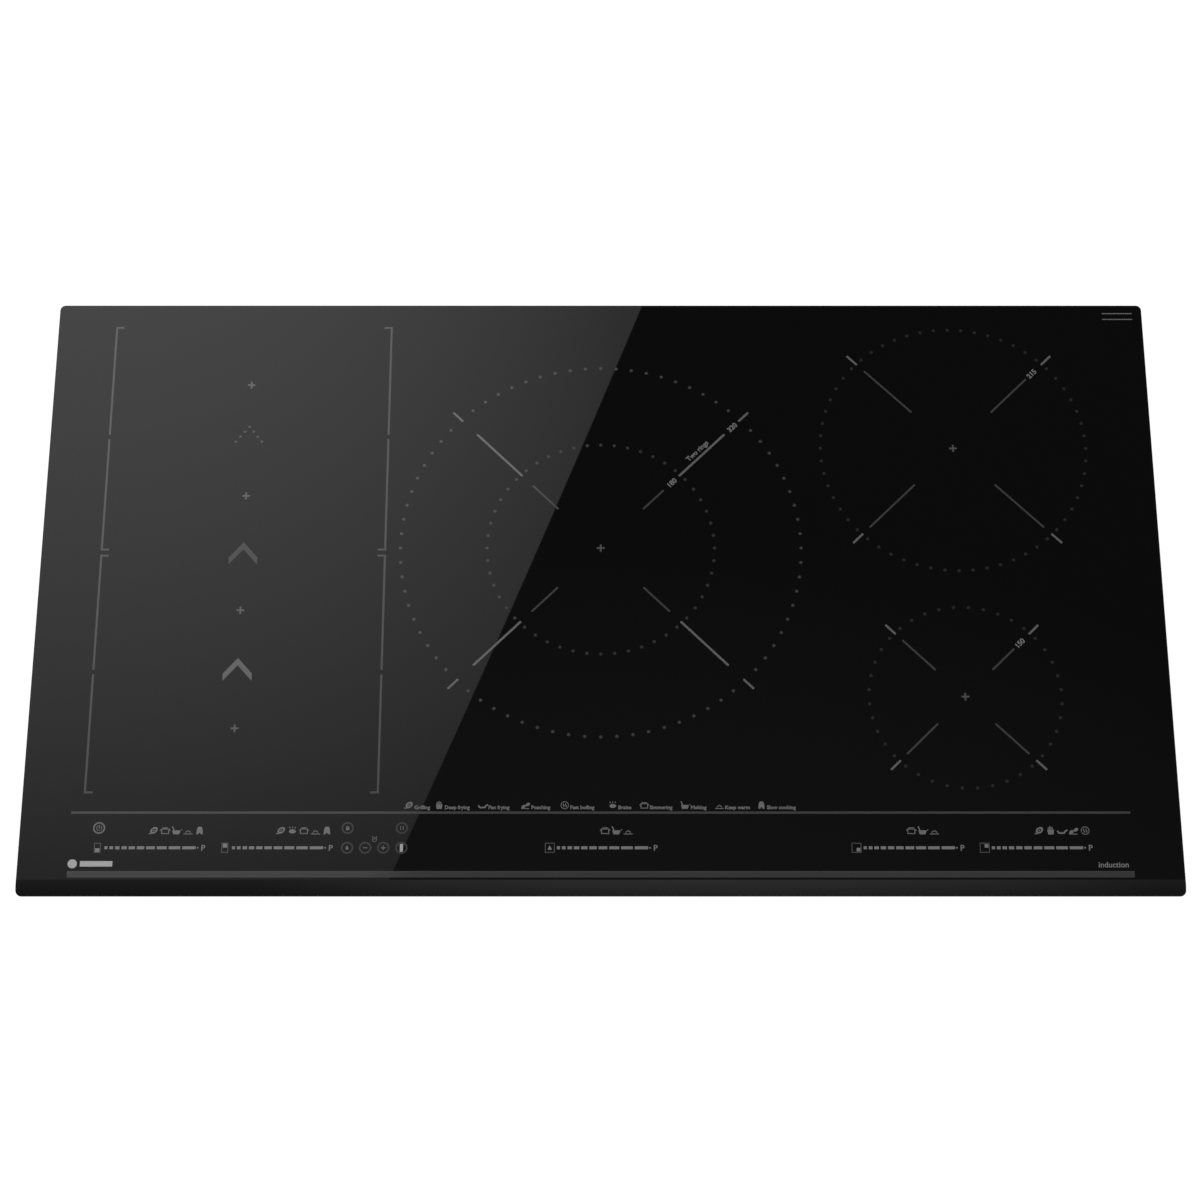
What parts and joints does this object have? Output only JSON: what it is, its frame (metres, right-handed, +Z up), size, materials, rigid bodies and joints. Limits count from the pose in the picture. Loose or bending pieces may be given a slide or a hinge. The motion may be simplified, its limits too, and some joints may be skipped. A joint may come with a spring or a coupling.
{
  "type": "induction hob",
  "caption": "Built-in induction hob: flat black glass top with round and oval cooking zones and a front touch strip, over a shallow steel casing with coils, power boards and fans.",
  "frame": {"origin": "centre of the hob on the worktop plane, where the underside of the seal rests; the glass stands 6 mm above it and the casing hangs 51 mm below it", "axes": "+X to the user's right along the 900 mm side, +Y away from the user, +Z up out of the glass"},
  "size_m": [0.9, 0.51, 0.057],
  "materials": {
    "black_glass": "polished black glass-ceramic",
    "silicone": "matte silicone",
    "foam": "closed-cell foam",
    "steel_sheet": "galvanised sheet",
    "spring_steel": "spring steel",
    "steel_screw": "zinc plated",
    "aluminium_sheet": "mill finish",
    "copper_litz": "enamelled copper strands",
    "ferrite": "sintered ferrite",
    "mica": "pressed mica",
    "rubber_boot": "white silicone boot",
    "coil_carrier_plastic": "glass-filled plastic",
    "black_plastic": "moulded plastic",
    "grey_plastic": "moulded plastic",
    "circuit_board": "solder mask",
    "capacitor_case": "moulded case",
    "choke_coat": "coated core with winding",
    "wire_sleeve": "glass-fibre sleeve",
    "brass_clamp": "plain brass",
    "touch_foam": "conductive foam",
    "clear_plastic": "clear acrylic"
  },
  "bodies": {
    "hob": {"board_carrier": "black_plastic", "bottom_tray": "steel_sheet", "cable_clamp": "grey_plastic", "cable_gland": "black_plastic", "capacitors": "capacitor_case", "chokes": "choke_coat", "coil_plate": "aluminium_sheet", "coil_screws": "steel_screw", "coil_springs": "spring_steel", "fan_housing_left": "black_plastic", "fan_housing_right": "black_plastic", "fixing_brackets": "steel_sheet", "glass_adhesive": "silicone", "glass_frame": "steel_sheet", "glass_top": "black_glass", "heatsinks": "aluminium_sheet", "light_guides": "clear_plastic", "pan_screws": "steel_screw", "power_board_left": "circuit_board", "power_board_right": "circuit_board", "power_transistors": "black_plastic", "terminal_block": "grey_plastic", "terminal_clamps": "brass_clamp", "touch_board": "circuit_board", "touch_holder": "black_plastic", "touch_springs": "touch_foam", "wiring_harness": "wire_sleeve", "worktop_seal": "foam"},
    "coil_flex_rear": {"flex_rear_carrier": "coil_carrier_plastic", "flex_rear_ferrites": "ferrite", "flex_rear_mica": "mica", "flex_rear_sensors": "rubber_boot", "flex_rear_winding": "copper_litz"},
    "coil_flex_front": {"flex_front_carrier": "coil_carrier_plastic", "flex_front_ferrites": "ferrite", "flex_front_mica": "mica", "flex_front_sensors": "rubber_boot", "flex_front_winding": "copper_litz"},
    "coil_centre": {"centre_carrier": "coil_carrier_plastic", "centre_ferrites": "ferrite", "centre_mica": "mica", "centre_sensor": "rubber_boot", "centre_winding": "copper_litz"},
    "coil_rear_right": {"rear_right_carrier": "coil_carrier_plastic", "rear_right_ferrites": "ferrite", "rear_right_mica": "mica", "rear_right_sensor": "rubber_boot", "rear_right_winding": "copper_litz"},
    "coil_front_right": {"front_right_carrier": "coil_carrier_plastic", "front_right_ferrites": "ferrite", "front_right_mica": "mica", "front_right_sensor": "rubber_boot", "front_right_winding": "copper_litz"},
    "fan_wheel_left": {"fan_rotor_left": "black_plastic"},
    "fan_wheel_right": {"fan_rotor_right": "black_plastic"},
    "clip_front_left": {"fixing_spring_front_left": "spring_steel"},
    "clip_front_right": {"fixing_spring_front_right": "spring_steel"},
    "clip_rear_left": {"fixing_spring_rear_left": "spring_steel"},
    "clip_rear_right": {"fixing_spring_rear_right": "spring_steel"},
    "wiring_lid": {"terminal_cover": "grey_plastic"}
  },
  "joints": [
    {"name": "flex_rear_float", "type": "slide", "parent": "hob", "child": "coil_flex_rear", "axis": [0, 0, 1], "range_m": [-0.003, 0], "stiffness_N_per_m": 2000, "springref_m": 0.005, "deforming": ["coil_springs", "wiring_harness"]},
    {"name": "flex_front_float", "type": "slide", "parent": "hob", "child": "coil_flex_front", "axis": [0, 0, 1], "range_m": [-0.003, 0], "stiffness_N_per_m": 2000, "springref_m": 0.005, "deforming": ["coil_springs", "wiring_harness"]},
    {"name": "centre_float", "type": "slide", "parent": "hob", "child": "coil_centre", "axis": [0, 0, 1], "range_m": [-0.003, 0], "stiffness_N_per_m": 2000, "springref_m": 0.005, "deforming": ["coil_springs", "wiring_harness"]},
    {"name": "rear_right_float", "type": "slide", "parent": "hob", "child": "coil_rear_right", "axis": [0, 0, 1], "range_m": [-0.003, 0], "stiffness_N_per_m": 2000, "springref_m": 0.005, "deforming": ["coil_springs", "wiring_harness"]},
    {"name": "front_right_float", "type": "slide", "parent": "hob", "child": "coil_front_right", "axis": [0, 0, 1], "range_m": [-0.003, 0], "stiffness_N_per_m": 2000, "springref_m": 0.005, "deforming": ["coil_springs", "wiring_harness"]},
    {"name": "fan_left_spin", "type": "hinge", "parent": "hob", "child": "fan_wheel_left", "pos_m": [-0.215, 0.122, -0.037], "axis": [0, 0, 1], "continuous": true},
    {"name": "fan_right_spin", "type": "hinge", "parent": "hob", "child": "fan_wheel_right", "pos_m": [0.215, 0.122, -0.037], "axis": [0, 0, 1], "continuous": true},
    {"name": "clip_front_left_flex", "type": "hinge", "parent": "hob", "child": "clip_front_left", "pos_m": [-0.425, -0.132, -0.028], "axis": [0, 1, 0], "range_deg": [0, 8]},
    {"name": "clip_front_right_flex", "type": "hinge", "parent": "hob", "child": "clip_front_right", "pos_m": [0.425, -0.132, -0.028], "axis": [0, -1, 0], "range_deg": [0, 8]},
    {"name": "clip_rear_left_flex", "type": "hinge", "parent": "hob", "child": "clip_rear_left", "pos_m": [-0.425, 0.132, -0.028], "axis": [0, 1, 0], "range_deg": [0, 8]},
    {"name": "clip_rear_right_flex", "type": "hinge", "parent": "hob", "child": "clip_rear_right", "pos_m": [0.425, 0.132, -0.028], "axis": [0, -1, 0], "range_deg": [0, 8]},
    {"name": "wiring_lid_hinge", "type": "hinge", "parent": "hob", "child": "wiring_lid", "pos_m": [0.348, 0.2185, -0.0476], "axis": [1, 0, 0], "range_deg": [0, 95]}
  ]
}
